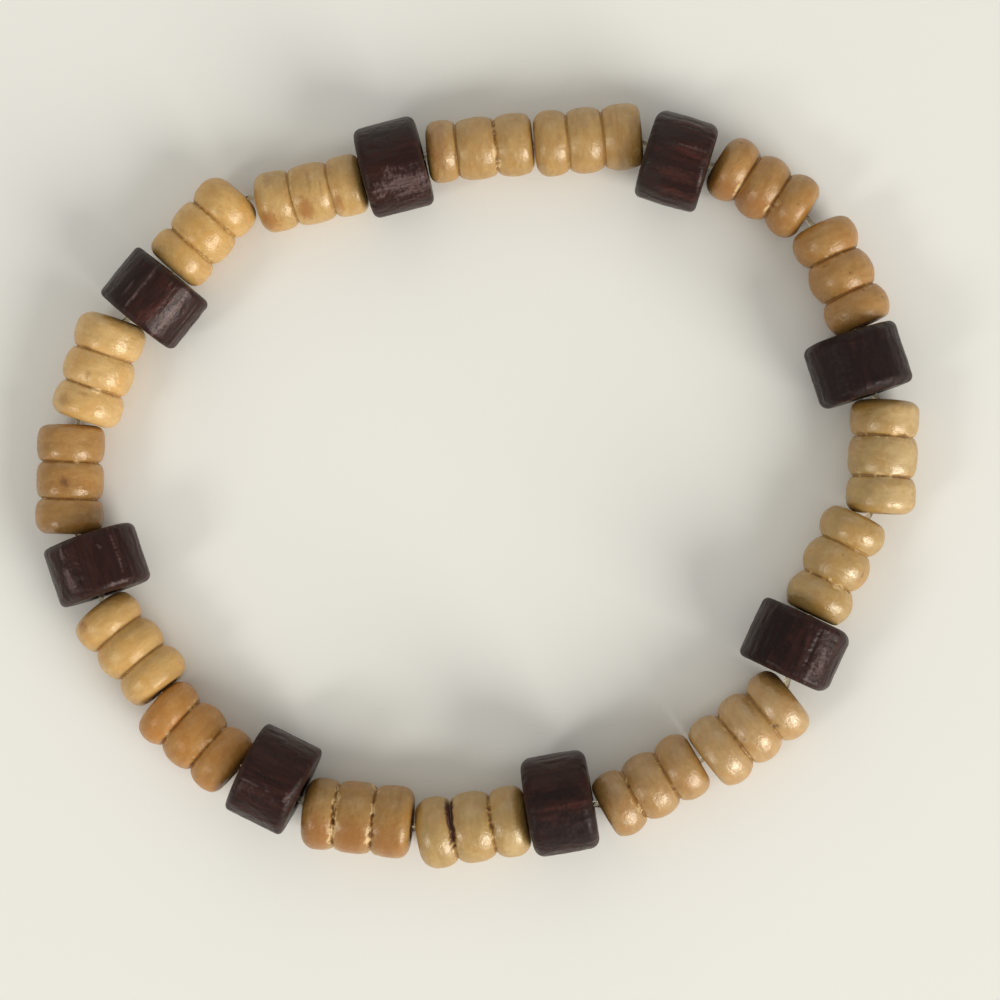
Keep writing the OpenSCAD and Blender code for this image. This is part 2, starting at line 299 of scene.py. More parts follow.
# Noise that breaks up the edges of the marks
LIGHT_BREAKS = [Noise(0.315, 40, 50, 70), Noise(0.315, 44, 110, 40)]
DARK_BREAKS = [Noise(0.63, 5, 80, 70), Noise(0.63, 44, 110, 40)]
# The edge of a mark
# blunt: 2 makes the mark an ellipse, and more brings it near a rectangle
# crisp: how sharply the mark fades at its edge
Edge = namedtuple("Edge", "blunt crisp")
SOFT_EDGE = Edge(2, 1)
BLACK_EDGE = Edge(6, 2)

# Patterns in the wood and the elastic: cloudy noise on the bead's own coordinates in mm
# along, across: its scale along the bead and across it
Pattern = namedtuple("Pattern", "along across detail roughness distortion", defaults=(0.0,))
LIGHT_PATTERNS = {
    "streaks": Pattern(1.3, 0.4, 4.0, 0.55),
    "lines": Pattern(14.0, 0.7, 3.0, 0.6),
    "clouds": Pattern(0.42, 0.42, 3.0, 0.55, 0.6),
    "pores": Pattern(16.0, 5.0, 2.0, 0.5),
    "mottle": Pattern(2.6, 1.5, 4.0, 0.62),
    "sheen": Pattern(1.6, 1.6, 4.0, 0.6),
    "waves": Pattern(1.3, 1.3, 3.0, 0.6),
}
DARK_PATTERNS = {
    "grain": Pattern(0.35, 2.2, 6.0, 0.65, 0.3),
    "hair": Pattern(0.9, 11.0, 4.0, 0.6),
    "clouds": Pattern(0.55, 0.55, 3.0, 0.6),
    "sheen": Pattern(1.0, 4.0, 4.0, 0.6),
    "lumps": Pattern(1.6, 2.6, 4.0, 0.6),
}
ELASTIC_PATTERNS = {
    "clouds": Pattern(2.0, 2.0, 3.0, 0.5),
    "sheen": Pattern(4.0, 4.0, 3.0, 0.5),
    "waves": Pattern(6.0, 6.0, 3.0, 0.5),
}

# Sockets of Blender's node for mixing colours: the two colours that go in, and the one that
# comes out
MIX_FROM = 6
MIX_TO = 7
MIXED = 2

# A layer of colour over what lies under it
# colour: as seen on a screen, 0 to 255; most: how strong it is where it is strongest
# mark: the mark that it shows in, if it isn't all over the bead
# pattern: the pattern that breaks it up, if one does, which brings it in from least to most as
# the pattern goes from low to high
Layer = namedtuple("Layer", "colour most mark pattern low high least",
                   defaults=(None, None, 0.0, 1.0, 0.0))
DARK_BASE = (35, 16, 13)
DARK_LAYERS = [
    Layer((52, 26, 21), 1.0, pattern="grain", low=0.36, high=0.66),
    Layer((44, 27, 24), 0.5, pattern="clouds", low=0.5, high=0.75),
    Layer((64, 35, 28), 0.3, pattern="hair", low=0.55, high=0.75),
    Layer((78, 39, 33), 0.7, mark="glow", pattern="grain", low=0.35, high=0.6, least=0.2),
    Layer((40, 33, 30), 0.6, mark="faint"),
    # Pale grey wear and scratches, and painted highlights on the lit side of some beads
    Layer((116, 94, 92), 0.65, mark="wear_and_highlight", pattern="hair", low=0.35, high=0.6, least=0.2),
    # Near-black stains, and painted shade over the lit outer side of one bead
    Layer((20, 11, 11), 0.75, mark="stain_and_shade"),
    Layer((30, 18, 17), 0.35, mark="cut"),
    Layer((44, 28, 25), 0.5, mark="end"),
]
LIGHT_MARK_LAYERS = [
    Layer((112, 76, 40), 0.3, pattern="pores", low=0.68, high=0.76),
    Layer((154, 101, 48), 0.8, mark="glow", pattern="streaks", low=0.3, high=0.6, least=0.4),
    Layer((138, 90, 42), 0.4, mark="faint"),
    # Painted highlight: a paler colour where the light falls on the lobes
    Layer((206, 178, 126), 0.5, mark="painted_highlight"),
    Layer((126, 83, 41), 1.0, mark="cut"),
    Layer((98, 58, 26), 0.75, mark="stain_and_shade"),
    Layer((226, 196, 142), 0.8, mark="torn"),
    Layer((74, 40, 32), 1.0, mark="black"),
    Layer((120, 84, 46), 0.45, mark="end"),
]

# How rough a surface is, from smoothest to roughest with its sheen pattern, and how much its marks
# add to that
Sheen = namedtuple("Sheen", "smoothest roughest marks")
LIGHT_SHEEN = Sheen(0.3, 0.42, {"torn": 0.3, "polished": -0.08})
DARK_SHEEN = Sheen(0.26, 0.4, {"matt": 0.16, "polished": -0.12})
ELASTIC_SHEEN = Sheen(0.08, 0.2, {})
# Where the sheen pattern is at its smoothest and at its roughest
SHEEN_LOW = 0.3
SHEEN_HIGH = 0.7

# Relief in the shading, one kind over another
# height: in mm, twice that in its mark if it has one; strength: how much of it is seen
Bump = namedtuple("Bump", "pattern height strength mark", defaults=(None,))
LIGHT_BUMPS = [Bump("waves", 0.12, 0.6), Bump("mottle", 0.06, 0.7), Bump("lines", 0.02, 0.35)]
DARK_BUMPS = [Bump("lumps", 0.09, 0.8, "crazed"), Bump("hair", 0.012, 0.6)]
ELASTIC_BUMPS = [Bump("waves", 0.03, 0.5)]

# How the woods reflect: the tint of both, and how strongly the dark one does
LIGHT_TINT = (1.0, 0.93, 0.8, 1)
DARK_TINT = (1.0, 0.9, 0.86, 1)
DARK_GLOSS = 0.21

# The clear elastic
ELASTIC_PALE = (238, 229, 208)
ELASTIC_DEEP = (224, 210, 184)
ELASTIC_CLEARNESS = 0.95
ELASTIC_IOR = 1.25

# The floor, which reaches this far each way from the middle, in m
FLOOR_REACH = 1.5
FLOOR_COLOUR = (238, 237, 231)
FLOOR_ROUGHNESS = 0.9
FLOOR_GLOSS = 0.2

# The photograph's camera, in mm from the middle of the loop: what it looks at, the way from there
# to the camera, and how far; the picture's scale there and its size; the sensor's width
TARGET = np.array([2.2, -1.3, 3.0])
CAMERA_LEAN = np.array([0.045, -0.03, 1.0])
CAMERA_DISTANCE = 190
CAMERA_PLACE = TARGET + CAMERA_DISTANCE * CAMERA_LEAN / np.linalg.norm(CAMERA_LEAN)
PIXELS_PER_MM = 11.8
FRAME_PIXELS = 1000
SENSOR = 36
# The nearest that it sees, in m
NEAREST_SEEN = 0.01

# Soft oval lights: a main one from the lower right, weak ones from the left and from behind
# azimuth, elevation: in degrees, azimuth anticlockwise from +X seen from above
# distance: in mm; width, height: in m; power: in watts; colour: shares of red, green and blue
Lamp = namedtuple("Lamp", "azimuth elevation distance width height power colour")
LAMPS = {
    "main_light": Lamp(-43, 25, 1600, 0.9, 1.05, 22.3, (1.0, 0.974, 0.928)),
    "left_light": Lamp(215, 38, 900, 0.24, 0.24, 1.36, (1.0, 0.98, 0.95)),
    "back_light": Lamp(93, 30, 1600, 1.6, 1.3, 2.6, (1.0, 0.985, 0.945)),
}
# Even light from all round
ROUND_LIGHT_COLOUR = (0.99, 0.985, 0.945, 1)
ROUND_LIGHT_STRENGTH = 0.488


def ease(t):
    """A smooth step: three times t squared less twice t cubed, with t held between 0 and 1."""
    t = np.clip(t, 0, 1)
    return t * t * (3 - 2 * t)


def rough(share, turn, cells, seed):
    """Smooth noise from -1 to 1 over a bead's skin, which meets itself round the bead.
    share runs 0 to 1 along the bead and turn 0 to 1 round it. A seeded random value sits on each
    point of a lattice of cells steps along and round, and each is eased into the next."""
    lattice = np.random.default_rng(seed).uniform(-1, 1, cells)
    a, b = share * cells[0], turn * cells[1]
    i, j = np.floor(a).astype(int), np.floor(b).astype(int)
    s, t = ease(a - i), ease(b - j)
    row, next_row = i % cells[0], (i + 1) % cells[0]
    column, next_column = j % cells[1], (j + 1) % cells[1]
    near = (1 - t) * lattice[row, column] + t * lattice[row, next_column]
    far = (1 - t) * lattice[next_row, column] + t * lattice[next_row, next_column]
    return (1 - s) * near + s * far


def uneven(kinds, share, turn, seed):
    """Several kinds of noise added up, each times its size."""
    return sum(kind.size * rough(share, turn, (kind.along, kind.round_it), seed + kind.seed)
               for kind in kinds)


def uneven_round(kinds, turn, seed):
    """The same with share at 0 all over, for noise that only changes round the bead."""
    return uneven(kinds, np.zeros_like(turn), turn, seed)


def strayed(kind, turn, tear, seed):
    """How far a cut strays at each point round the bead: its steady part, and its torn part times
    the tear."""
    return uneven_round(kind.steady, turn, seed) + tear * uneven_round(kind.torn, turn, seed)


def comes_up(kind, noise, tear):
    """How strongly torn wood shows, 0 to 1: an eased step over noise and tear, each times its gain,
    less the start, and fading out where the cut is hardly torn."""
    step = ease(kind.noise_gain * noise + kind.tear_gain * tear - kind.start)
    return step * ease(tear / FULL_TEAR)


Bead = namedtuple("Bead", "middle axis outward length radius seed")


def read_bead(node, seed):
    """A bead's own axes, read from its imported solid: its middle, the way its axis runs clockwise
    round the loop, the way out of the loop, its length and its radius. The spread of its skin in
    plan has two main directions. The axis is the one across which the bead is as wide as it is
    high."""
    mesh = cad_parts[node].data
    points = np.empty(len(mesh.vertices) * 3, np.float32)
    mesh.vertices.foreach_get("co", points)
    points = points.reshape(-1, 3).astype(float) / MM
    corners = np.empty(len(mesh.loops), np.int32)
    mesh.loops.foreach_get("vertex_index", corners)
    first, second, third = np.moveaxis(points[corners].reshape(-1, 3, 3), 1, 0)
    area = np.linalg.norm(np.cross(second - first, third - first), axis=1)
    plan = ((first + second + third) / 3)[:, :2]
    plan = plan - np.average(plan, axis=0, weights=area)
    directions = np.linalg.eigh((plan * area[:, None]).T @ plan)[1].T
    height = np.ptp(points[:, 2])
    widths = np.array([np.ptp(points[:, :2] @ across) for across in directions])
    across_index = int(np.argmin(np.abs(widths - height)))
    axis = np.append(directions[1 - across_index], 0)
    outward = np.cross(UP, axis)
    own_axes = np.array([axis, outward, UP])
    own = points @ own_axes.T
    middle = (own.min(0) + own.max(0)) / 2 @ own_axes
    if middle @ outward < 0:
        axis, outward = -axis, -outward
    return Bead(middle, axis, outward, np.ptp(own[:, 0]), height / 2, seed)


def placed(bead, along, outward, up):
    """Points given by their distances from the bead's middle: each distance, along its axis, out
    of the loop and up, times its direction, added to the middle."""
    level = along[..., None] * bead.axis + outward[..., None] * bead.outward
    return bead.middle + level + up[..., None] * UP


def closed_skin(name, points, fields):
    """A mesh over a grid of points, rings by round, that joins up with itself both ways: each point
    makes a square with the next one round, and with the same two on the next ring. fields are
    arrays of one value or one vector a point, and each becomes an attribute of the mesh."""
    rings, round_count = points.shape[:2]
    here = np.arange(rings * round_count, dtype=np.int32).reshape(rings, round_count)
    ahead = np.roll(here, -1, 0)
    quads = np.stack([here, np.roll(here, -1, 1), np.roll(ahead, -1, 1), ahead], -1).reshape(-1, 4)
    mesh = bpy.data.meshes.new(name)
    mesh.vertices.add(here.size)
    mesh.vertices.foreach_set("co", (points * MM).astype(np.float32).ravel())
    mesh.loops.add(quads.size)
    mesh.loops.foreach_set("vertex_index", quads.ravel())
    mesh.polygons.add(len(quads))
    mesh.polygons.foreach_set("loop_start", np.arange(0, quads.size, 4, dtype=np.int32))
    mesh.update(calc_edges=True)
    mesh.validate()
    mesh.shade_smooth()
    for field, values in fields.items():
        kind, key = ("FLOAT_VECTOR", "vector") if values.ndim == 3 else ("FLOAT", "value")
        attribute = mesh.attributes.new(field, kind, "POINT")
        attribute.data.foreach_set(key, values.astype(np.float32).ravel())
    piece = bpy.data.objects.new(name, mesh)
    bpy.context.scene.collection.objects.link(piece)
    return piece


def spread_rings(along, radius, weight, count):
    """Picks count places along an outline. The outline's steps, each times the mean weight of its
    two ends, are added up, and the places are where that sum passes even parts of the whole."""
    lengths = np.hypot(np.diff(along), np.diff(radius)) * (weight[1:] + weight[:-1]) / 2
    travelled = np.append(0, np.cumsum(lengths))
    return np.interp(np.linspace(0, travelled[-1], count), travelled, along)


def end_curve(depth, top, rounding):
    """Radius at a depth inside a rounded end: a quarter circle, whose radius is the rounding, up to
    the top radius."""
    reach = np.clip(rounding - depth, 0, rounding)
    return top - rounding + np.sqrt(np.maximum(rounding ** 2 - reach ** 2, 0))


def lobed_outline(along, bead, look):
    """Radius along a ribbed bead: three crowned lobes inside two rounded ends, whichever is less. A
    lobe falls by look.fall times a share to the power look.full. The share is 0 at its middle and 1
    at its edges."""
    edges = np.array([0, look.first, look.second, 1]) * bead.length - bead.length / 2
    lobe = np.clip(np.searchsorted(edges, along) - 1, 0, 2)
    middle, half = (edges[lobe] + edges[lobe + 1]) / 2, (edges[lobe + 1] - edges[lobe]) / 2
    crown = bead.radius - look.fall * (np.abs(along - middle) / half) ** look.full
    near = end_curve(along + bead.length / 2, bead.radius, look.near)
    far = end_curve(bead.length / 2 - along, bead.radius, look.far)
    return np.minimum(crown, np.minimum(near, far))


def plain_outline(along, bead, rounding):
    """Radius along a plain bead: the lesser of its two rounded ends."""
    near = end_curve(along + bead.length / 2, bead.radius, rounding)
    return np.minimum(near, end_curve(bead.length / 2 - along, bead.radius, rounding))


def grid_of(bead, outline, weight, rings, round_count):
    """The grid of a bead's outside: places along it in mm from its middle, the same as shares of
    its length from the near end, and even turns round it from 0 to 1, which start at the top and
    go out of the loop first. The outline and the weight of its steps are measured in many even
    steps."""
    fine = np.linspace(-bead.length / 2, bead.length / 2, OUTLINE_STEPS)
    along = spread_rings(fine, outline(fine), weight(fine), rings)
    return along, along[:, None] / bead.length + 0.5, np.arange(round_count)[None, :] / round_count


def mark_masks(node, bead, share, turn, kinds, breaks):
    """How strongly each kind of mark shows at each point, 0 to 1, and how deep the marks are sunk.
    A mark is an ellipse, or nearly a rectangle if it is black: the distances from its middle along
    and round the bead, as shares of its half size, are raised to a power and added up, and the root
    of that is 1 on its edge. The mask eases from 1 to 0 across the edge, is a half on it, and is
    broken up by noise. The mark's angle is turned by the bead's lean, which is the angle at the
    bead between straight up and the camera."""
    masks = {kind: np.zeros(np.broadcast_shapes(share.shape, turn.shape)) for kind in kinds}
    sunk = 0
    sight = CAMERA_PLACE - bead.middle
    lean = np.arctan2(sight @ bead.outward, sight @ UP)
    marks = [mark for mark in MARKS if mark.bead == node]
    for number, mark in enumerate(marks):
        edge = BLACK_EDGE if mark.kind == "black" else SOFT_EDGE
        turned = turn * FULL_TURN - np.radians(mark.angle) - lean
        aside = (turned + np.pi) % FULL_TURN - np.pi
        across = aside * bead.radius / (mark.wide / 2)
        along = (share - mark.share) * bead.length / (mark.long / 2)
        reach = (np.abs(along) ** edge.blunt + np.abs(across) ** edge.blunt) ** (1 / edge.blunt)
        ragged = uneven(breaks, share, turn, bead.seed + number)
        mask = ease(0.5 + edge.crisp * (1 - reach + ragged))
        masks[mark.kind] = np.maximum(masks[mark.kind], mask)
        sunk = sunk + mark.depth * mask
    return masks, sunk


def closed_profile(bead, outer_along, outer_radius):
    """The whole profile of a drilled bead as a closed ring: up the near face, along the outside,
    down the far face, over the bevel and back through the hole. Gives along and radius, and 1 for
    each ring of the outside and 0 for the others."""
    half = bead.length / 2
    mouth_r = BORE_R + MOUTH_W
    round_count = outer_radius.shape[1]

    def widened(values):
        """One value a ring, repeated round the bead."""
        return np.repeat(values[:, None], round_count, 1)

    near_face = np.linspace(mouth_r, outer_radius[0].min() - FACE_INSET, FACE_RINGS)
    far_face = np.linspace(outer_radius[-1].min() - FACE_INSET, mouth_r, FACE_RINGS)
    flat = np.full(FACE_RINGS, half)
    bore_along = np.linspace(half - MOUTH_W, MOUTH_W - half, BORE_RINGS)
    bore_radius = np.full(BORE_RINGS, BORE_R)
    along = np.concatenate([-flat, outer_along, flat, bore_along])
    radius = [widened(near_face), outer_radius, widened(far_face), widened(bore_radius)]
    outside = np.zeros(len(along))
    outside[FACE_RINGS:FACE_RINGS + len(outer_along)] = 1
    return widened(along), np.concatenate(radius), outside


def whole_mask(mask, outside):
    """A mask of the outside as a mask of the whole profile, 0 on the faces and in the hole."""
    whole = np.zeros((len(outside), mask.shape[1]))
    whole[outside == 1] = mask
    return whole


def turned_piece(node, bead, along, radius, turn, masks):
    """Closes a bead's outside to the whole drilled bead, turns it round the bead's axis, and makes
    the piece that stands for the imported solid. A point lies out of the loop by its radius times
    the sine of its turn, and up by its radius times the cosine, but not lower than the floor."""
    full_along, full_radius, outside = closed_profile(bead, along, radius)
    angle = turn * FULL_TURN
    outward = full_radius * np.sin(angle)
    up = np.maximum(full_radius * np.cos(angle), -bead.radius)
    fields = {kind: whole_mask(mask, outside) for kind, mask in masks.items()}
    fields["end"] = np.repeat(1 - outside[:, None], turn.size, 1)
    shift = np.random.default_rng(bead.seed).uniform(-PATTERN_SHIFT, PATTERN_SHIFT, 3)
    fields["bead_place"] = np.stack([full_along, outward, up], -1) + shift
    piece = closed_skin(node + "_turned", placed(bead, full_along, outward, up), fields)
    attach(piece, "root")
    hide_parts(node)
    return piece


def torn_cut(along, share, turn, tear, seed):
    """One cut between two lobes, where along is the distance from its middle in mm. It is a trough,
    half of one plus the cosine, whose middle, width and depth stray round the bead. Fibres stand up
    in clumps on its lips, and pits lie between them. Gives how the radius changes in mm, and the
    masks of the trough, the fibres and the pits."""
    width = CUT_HALF_WIDTH * (1 + strayed(WIDTH_STRAY, turn, tear, seed))
    depth = CUT_DEPTH * (1 + strayed(DEPTH_STRAY, turn, tear, seed))
    across = (along - strayed(MIDDLE_STRAY, turn, tear, seed)) / width
    aside = np.abs(across)
    trough = np.where(aside < 1, (1 + np.cos(np.pi * aside)) / 2, 0)
    lip = ease(LIP_REACH - np.abs(across - uneven_round(LIP_STRAY, turn, seed)))
    fibres = comes_up(FIBRES, uneven(FIBRE_CLUMPS, share, turn, seed), tear) * lip
    pits = comes_up(PITS, uneven_round(PIT_SPACING, turn, seed), tear)
    pits = pits * ease(PIT_REACH - aside) * (1 - fibres)
    return FIBRE_HEIGHT * fibres - PIT_DEPTH * pits - depth * trough, trough, fibres, pits


def ribbed_bead(node, look, seed, wood):
    """A ribbed bead: the lobed outline turned round, plus relief. The relief is that of the two
    cuts, and lumps and marks of turning less the depth of the marks, which fade at both ends."""
    bead = read_bead(node, seed)
    cuts = (np.array([look.first, look.second]) - 0.5) * bead.length

    def crowding(fine):
        """How close rings stand: 1, and more where the nearer cut comes within reach."""
        near_cut = np.minimum(np.abs(fine - cuts[0]), np.abs(fine - cuts[1]))
        return 1 + CROWDING * ease(1 - near_cut / CROWDED_REACH)

    along, share, turn = grid_of(bead, lambda fine: lobed_outline(fine, bead, look), crowding,
                                 RIBBED_RINGS, RIBBED_ROUND)
    masks, sunk = mark_masks(node, bead, share, turn, LIGHT_MARKS, LIGHT_BREAKS)
    masks["cut"] = np.zeros_like(masks["torn"])
    relief = uneven(LUMPS + TURNING_MARKS, share, turn, seed) - sunk
    relief = relief * ease(np.minimum(share, 1 - share) * bead.length / END_FADE)
    for cut, tear, cut_seed in zip(cuts, (look.tear_1, look.tear_2), CUT_SEEDS):
        change, trough, fibres, pits = torn_cut(along[:, None] - cut, share, turn, tear,
                                                seed + cut_seed)
        relief = relief + change
        masks["cut"] = np.maximum(masks["cut"], look.grime * trough)
        masks["torn"] = np.maximum(masks["torn"], fibres)
        masks["stain_and_shade"] = np.maximum(masks["stain_and_shade"], pits)
    radius = lobed_outline(along, bead, look)[:, None] + relief
    piece = turned_piece(node, bead, along, radius, turn, masks)
    piece.data.materials.append(wood)


def dark_bead(node, seed, wood):
    """A plain bead: a cylinder with rounded rims, plus relief. The relief is that of worn flats and
    coarse ridges of grain less the depth of the marks, which fade on the rims, weaker flats on the
    rims, and small chips out of them."""
    bead = read_bead(node, seed)
    along, share, turn = grid_of(bead, lambda fine: plain_outline(fine, bead, DARK_ROUNDING),
                                 np.ones_like, DARK_RINGS, DARK_ROUND)
    rounding = DARK_ROUNDING + uneven_round(ROUNDING_STRAY, turn, seed)
    rim = 1 - ease(np.minimum(share, 1 - share) * bead.length / RIM_REACH)
    flats = uneven(FLATS, share, turn, seed)
    chips = CHIP_DEPTH * rim * ease(uneven_round(CHIPS, turn, seed) - CHIP_START)
    masks, sunk = mark_masks(node, bead, share, turn, DARK_MARKS, DARK_BREAKS)
    masks["cut"] = ease(uneven(FURROWS, share, turn, seed) - FURROW_START)
    masks["matt"] = np.maximum(masks["matt"], RIM_MATT * rim)
    relief = (1 - rim) * (flats + uneven(GRAIN_RIDGES, share, turn, seed) - sunk)
    radius = plain_outline(along[:, None], bead, rounding) + relief + RIM_FLATS * rim * flats - chips
    piece = turned_piece(node, bead, along, radius, turn, masks)
    piece.data.materials.append(wood)


def eased_loop(route, steps):
    """A closed curve through the route's points: straight from one to the next, and then each point
    is moved a few times to a quarter of each neighbour and half of itself, which keeps the curve
    inside the holes."""
    t = (np.arange(steps) / steps)[None, :, None]
    start, end = route[:, None], np.roll(route, -1, 0)[:, None]
    line = (start + t * (end - start)).reshape(-1, 3)
    for _ in range(CORD_EASINGS):
        line = (np.roll(line, 1, 0) + 2 * line + np.roll(line, -1, 0)) / 4
    return line


def elastic_cord(beads, material):
    """The elastic, a round tube that runs through every hole. It leaves a hole off its middle,
    towards the midpoint between the two holes, but by no more than its play in the hole. Each of
    its rings is a circle square to the line between the neighbouring rings' middles."""
    ends = [bead.middle + np.outer((-0.5, 0.5), bead.length * bead.axis) for bead in beads]
    play = BORE_R - CORD_R - CORD_GAP
    route = []
    for number, bead in enumerate(beads):
        near, far = ends[number]
        before, after = ends[number - 1][1], ends[(number + 1) % len(beads)][0]
        for end, beyond, side in ((near, before, 1), (far, after, -1)):
            off = (end + beyond) / 2 - end
            off = off - (off @ bead.axis) * bead.axis
            reach = np.linalg.norm(off)
            off = off * min(1, play / reach) if reach > 0 else off
            route.append(end + side * MOUTH_W * bead.axis + off)
    line = eased_loop(np.array(route), CORD_STEPS)
    ahead = np.roll(line, -1, 0) - np.roll(line, 1, 0)
    ahead /= np.linalg.norm(ahead, axis=1, keepdims=True)
    aside = np.cross(UP, ahead)
    aside /= np.linalg.norm(aside, axis=1, keepdims=True)
    above = np.cross(ahead, aside)
    angle = (np.arange(CORD_ROUND) * FULL_TURN / CORD_ROUND)[None, :, None]
    circle = np.cos(angle) * aside[:, None] + np.sin(angle) * above[:, None]
    points = line[:, None] + CORD_R * circle
    piece = closed_skin("elastic_cord_loop", points, {"bead_place": points})
    piece.data.materials.append(material)
    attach(piece, "root")
    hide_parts("elastic_cord")


def linear(screen):
    """A colour given as 0 to 255 on a screen, as Blender's linear colour with its alpha. By the
    usual curve of screens, the darkest shares are divided by 12.92, and the others have 0.055
    added, are divided by 1.055 and raised to the power 2.4."""
    share = np.array(screen) / 255
    return (*np.where(share <= 0.04045, share / 12.92, ((share + 0.055) / 1.055) ** 2.4), 1)


def shifted(tone, red, green, blue):
    """A colour that differs from a tone by so much red, green and blue."""
    return tone.red + red, tone.green + green, tone.blue + blue


class Finish:
    """A material under construction. Each small call adds one node and gives back its output, and
    the last ones lay on whole tables."""

    def __init__(self, name, patterns):
        """Starts the material, and its patterns if it has any."""
        self.material = bpy.data.materials.new(name)
        self.material.use_nodes = True
        self.nodes = self.material.node_tree.nodes
        self.links = self.material.node_tree.links
        self.inputs = self.nodes["Principled BSDF"].inputs
        if patterns:
            place = self.field("bead_place", "Vector")
            self.patterns = {key: self.noise(place, row) for key, row in patterns.items()}

    def put(self, socket, value):
        """Sets a socket, or links it if the value is another node's output."""
        if isinstance(value, bpy.types.NodeSocket):
            self.links.new(value, socket)
        else:
            socket.default_value = value

    def field(self, name, output="Fac"):
        """A value that the mesh keeps at each point."""
        node = self.nodes.new("ShaderNodeAttribute")
        node.attribute_name = name
        return node.outputs[output]

    def noise(self, place, pattern):
        """Cloudy noise, about 0 to 1, on coordinates scaled along the bead and across it."""
        mapping = self.nodes.new("ShaderNodeMapping")
        self.put(mapping.inputs["Vector"], place)
        mapping.inputs["Scale"].default_value = (pattern.along, pattern.across, pattern.across)
        node = self.nodes.new("ShaderNodeTexNoise")
        self.put(node.inputs["Vector"], mapping.outputs["Vector"])
        node.inputs["Scale"].default_value = 1.0
        node.inputs["Detail"].default_value = pattern.detail
        node.inputs["Roughness"].default_value = pattern.roughness
        node.inputs["Distortion"].default_value = pattern.distortion
        return node.outputs["Fac"]

    def ramp(self, value, low, high, to_low, to_high):
        """Spreads low..high over to_low..to_high, smoothly, and stops there."""
        node = self.nodes.new("ShaderNodeMapRange")
        node.interpolation_type = "SMOOTHSTEP"
        self.put(node.inputs["Value"], value)
        node.inputs["From Min"].default_value = low
        node.inputs["From Max"].default_value = high
        node.inputs["To Min"].default_value = to_low
        node.inputs["To Max"].default_value = to_high
        return node.outputs["Result"]

    def math(self, operation, a, b):
        """Two values put together."""
        node = self.nodes.new("ShaderNodeMath")
        node.operation = operation
        self.put(node.inputs[0], a)
        self.put(node.inputs[1], b)
        return node.outputs["Value"]

    def mix(self, share, a, b):
        """Colour a turned into colour b by share."""
        node = self.nodes.new("ShaderNodeMix")
        node.data_type = "RGBA"
        self.put(node.inputs["Factor"], share)
        self.put(node.inputs[MIX_FROM], a)
        self.put(node.inputs[MIX_TO], b)
        return node.outputs[MIXED]

    def colour(self, base, layers):
        """Colour: a base, and layers over it from the first to the last."""
        colour = linear(base)
        for layer in layers:
            share = layer.most
            if layer.pattern:
                share = self.ramp(self.patterns[layer.pattern], layer.low, layer.high,
                                  layer.least, layer.most)
            if layer.mark:
                share = self.math("MULTIPLY", self.field(layer.mark), share)
            colour = self.mix(share, colour, linear(layer.colour))
        self.put(self.inputs["Base Color"], colour)

    def sheen(self, row):
        """Roughness: from smoothest to roughest with the sheen pattern, plus what marks add."""
        roughness = self.ramp(self.patterns["sheen"], SHEEN_LOW, SHEEN_HIGH,
                              row.smoothest, row.roughest)
        for mark, more in row.marks.items():
            extra = self.math("MULTIPLY", self.field(mark), more)
            roughness = self.math("ADD", roughness, extra)
        self.put(self.inputs["Roughness"], roughness)

    def relief(self, bumps):
        """Relief in the shading, from the first kind to the last."""
        for bump in bumps:
            distance = bump.height * MM
            if bump.mark:
                extra = self.math("MULTIPLY", self.field(bump.mark), distance)
                distance = self.math("ADD", extra, distance)
            node = self.nodes.new("ShaderNodeBump")
            self.put(node.inputs["Height"], self.patterns[bump.pattern])
            self.put(node.inputs["Distance"], distance)
            node.inputs["Strength"].default_value = bump.strength
            if self.inputs["Normal"].is_linked:
                self.put(node.inputs["Normal"], self.inputs["Normal"].links[0].from_socket)
            self.put(self.inputs["Normal"], node.outputs["Normal"])


def light_wood(name, tone):
    """Varnished light wood. Tone runs in streaks across the bead, with cloudy patches, mottling and
    fine lines, then pores, stains, painted highlights, raw torn fibres and a darker colour in the
    cuts."""
    finish = Finish(name, LIGHT_PATTERNS)
    deep = shifted(tone, -14, -17, -20)
    wood_layers = [
        Layer(deep, 0.75, pattern="streaks", low=0.3, high=0.72, least=0.1),
        Layer(shifted(tone, 4, -10, -26), 0.6, pattern="clouds", low=0.42, high=0.7),
        Layer(deep, 0.55, pattern="mottle", low=0.5, high=0.72),
        Layer(shifted(tone, 22, 22, 18), 0.5, pattern="mottle", low=0.46, high=0.28),
        Layer(deep, 0.14, pattern="lines", low=0.55, high=0.75),
    ]
    finish.colour(shifted(tone, 12, 11, 6), wood_layers + LIGHT_MARK_LAYERS)
    finish.sheen(LIGHT_SHEEN)
    finish.relief(LIGHT_BUMPS)
    finish.inputs["Specular IOR Level"].default_value = tone.gloss
    finish.inputs["Specular Tint"].default_value = LIGHT_TINT
    return finish.material


def dark_wood():
    """Very dark polished wood: near black, with red-brown streaks along the grain, greyish worn
    places
    and scratches, and painted highlights: pale patches where the light falls on some beads."""
    finish = Finish("dark_polished_wood", DARK_PATTERNS)
    finish.colour(DARK_BASE, DARK_LAYERS)
    finish.sheen(DARK_SHEEN)
    finish.relief(DARK_BUMPS)
    finish.inputs["Specular IOR Level"].default_value = DARK_GLOSS
    finish.inputs["Specular Tint"].default_value = DARK_TINT
    return finish.material


def clear_elastic():
    """Clear elastic, faintly beige."""
    finish = Finish("clear_elastic", ELASTIC_PATTERNS)
    clouds = finish.patterns["clouds"]
    colour = finish.mix(clouds, linear(ELASTIC_PALE), linear(ELASTIC_DEEP))
    finish.put(finish.inputs["Base Color"], colour)
    finish.sheen(ELASTIC_SHEEN)
    finish.relief(ELASTIC_BUMPS)
    finish.inputs["Transmission Weight"].default_value = ELASTIC_CLEARNESS
    finish.inputs["IOR"].default_value = ELASTIC_IOR
    return finish.material


